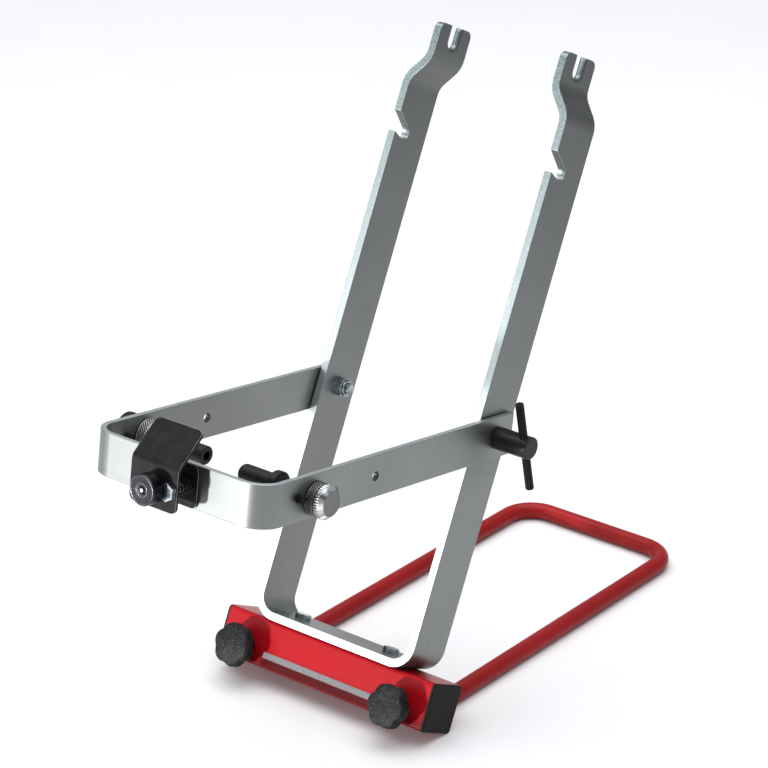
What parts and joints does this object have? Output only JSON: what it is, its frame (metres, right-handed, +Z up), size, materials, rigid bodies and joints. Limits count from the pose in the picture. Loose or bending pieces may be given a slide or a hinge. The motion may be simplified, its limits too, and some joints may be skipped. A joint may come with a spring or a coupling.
{
  "type": "bench wheel truing stand",
  "caption": "Bench stand for truing bicycle wheels: leaning aluminium fork on a red square beam with a tubular foot, pivoting arm with side and radial rim feelers.",
  "frame": {"origin": "on the bench top, at the centre of the bounding box footprint", "axes": "+X to the right seen from the front, +Y from the arm at the front to the foot at the back, +Z up"},
  "size_m": [0.1984, 0.526, 0.4407],
  "materials": {
    "red_paint": "gloss",
    "cap_plastic": "matte",
    "stripe_print": "matte",
    "knob_plastic": "satin",
    "aluminium": "brushed",
    "zinc_steel": "zinc plated",
    "black_steel": "satin black",
    "bright_steel": "bright",
    "nylon": "natural"
  },
  "bodies": {
    "stand": {"base_beam": "red_paint", "end_cap_left": "cap_plastic", "end_cap_right": "cap_plastic", "stripe_decal": "stripe_print", "fork": "aluminium", "fork_bolts": "zinc_steel", "fork_nuts": "zinc_steel", "friction_washers": "nylon", "pivot_washer": "zinc_steel", "pivot_bolt": "zinc_steel", "pivot_lock_nut": "zinc_steel", "clamp_nut": "zinc_steel"},
    "foot": {"foot_tube": "red_paint", "foot_inserts": "zinc_steel"},
    "clamp_screw_left": {"clamp_stud_left": "zinc_steel"},
    "clamp_knob_left": {"star_knob_left": "knob_plastic"},
    "clamp_screw_right": {"clamp_stud_right": "zinc_steel"},
    "clamp_knob_right": {"star_knob_right": "knob_plastic"},
    "arm": {"arm": "aluminium", "gauge_pins": "black_steel", "radial_back_plate": "black_steel", "radial_screw_nut": "zinc_steel", "radial_spring": "black_steel"},
    "handle_screw": {"handle_stud": "zinc_steel"},
    "handle": {"handle_barrel": "black_steel", "cross_bar": "black_steel"},
    "left_feeler_screw": {"left_spindle": "zinc_steel"},
    "left_feeler": {"left_disc": "knob_plastic", "left_sleeve": "knob_plastic"},
    "left_lock": {"left_lock_ring": "bright_steel", "left_lock_band": "bright_steel"},
    "right_feeler_screw": {"right_spindle": "zinc_steel"},
    "right_feeler": {"right_feeler": "knob_plastic", "right_knob_ring": "black_steel", "right_knob_cap": "bright_steel"},
    "radial_feeler": {"radial_front_plate": "black_steel", "radial_guide_bolt": "zinc_steel", "radial_guide_nut": "zinc_steel"},
    "radial_screw": {"radial_stud": "black_steel", "radial_knob": "knob_plastic"}
  },
  "joints": [
    {"name": "foot_slide", "type": "slide", "parent": "stand", "child": "foot", "axis": [0, 0.8988, -0.4384], "range_m": [0, 0.031]},
    {"name": "clamp_left_travel", "type": "slide", "parent": "stand", "child": "clamp_screw_left", "axis": [0, -0.8988, 0.4384], "range_m": [0, 0.015]},
    {"name": "clamp_left_turn", "type": "hinge", "parent": "clamp_screw_left", "child": "clamp_knob_left", "pos_m": [-0.0757, -0.0909, 0.0286], "axis": [0, -0.8988, 0.4384], "range_deg": [0, 4320.5]},
    {"name": "clamp_right_travel", "type": "slide", "parent": "stand", "child": "clamp_screw_right", "axis": [0, -0.8988, 0.4384], "range_m": [0, 0.015]},
    {"name": "clamp_right_turn", "type": "hinge", "parent": "clamp_screw_right", "child": "clamp_knob_right", "pos_m": [0.0643, -0.0909, 0.0286], "axis": [0, -0.8988, 0.4384], "range_deg": [0, 4320.5]},
    {"name": "arm_pivot", "type": "hinge", "parent": "stand", "child": "arm", "pos_m": [-0.0057, 0.01906, 0.1936], "axis": [-1, 0, 0], "range_deg": [-50, 96]},
    {"name": "handle_travel", "type": "slide", "parent": "stand", "child": "handle_screw", "axis": [1, 0, 0], "range_m": [0, 0.00125]},
    {"name": "handle_turn", "type": "hinge", "parent": "handle_screw", "child": "handle", "pos_m": [0.0743, 0.01906, 0.1936], "axis": [1, 0, 0], "range_deg": [0, 360.5]},
    {"name": "left_feeler_travel", "type": "slide", "parent": "arm", "child": "left_feeler_screw", "axis": [1, 0, 0], "range_m": [0, 0.008]},
    {"name": "left_feeler_turn", "type": "hinge", "parent": "left_feeler_screw", "child": "left_feeler", "pos_m": [-0.0857, -0.17466, 0.22341], "axis": [1, 0, 0], "range_deg": [0, 2304.5]},
    {"name": "left_lock_turn", "type": "hinge", "parent": "arm", "child": "left_lock", "pos_m": [-0.0707, -0.17466, 0.22341], "axis": [1, 0, 0], "range_deg": [0, 180]},
    {"name": "right_feeler_travel", "type": "slide", "parent": "arm", "child": "right_feeler_screw", "axis": [1, 0, 0], "range_m": [0, 0.02]},
    {"name": "right_feeler_turn", "type": "hinge", "parent": "right_feeler_screw", "child": "right_feeler", "pos_m": [0.0743, -0.17596, 0.22159], "axis": [1, 0, 0], "range_deg": [0, 5760.5]},
    {"name": "radial_travel", "type": "slide", "parent": "arm", "child": "radial_feeler", "axis": [0, 0.9884, -0.1521], "range_m": [0, 0.01], "deforming": ["radial_spring"]},
    {"name": "radial_turn", "type": "hinge", "parent": "radial_feeler", "child": "radial_screw", "pos_m": [-0.0012, -0.25753, 0.23718], "axis": [0, 0.9884, -0.1521], "range_deg": [0, 4500.5]}
  ],
  "couplings": [
    {"joint": "clamp_left_turn", "follows": "clamp_left_travel", "rad_per_m": 5026.5},
    {"joint": "clamp_right_turn", "follows": "clamp_right_travel", "rad_per_m": 5026.5},
    {"joint": "handle_turn", "follows": "handle_travel", "rad_per_m": 5026.5},
    {"joint": "left_feeler_turn", "follows": "left_feeler_travel", "rad_per_m": 5026.5},
    {"joint": "right_feeler_turn", "follows": "right_feeler_travel", "rad_per_m": 5026.5},
    {"joint": "radial_turn", "follows": "radial_travel", "rad_per_m": 7854}
  ]
}
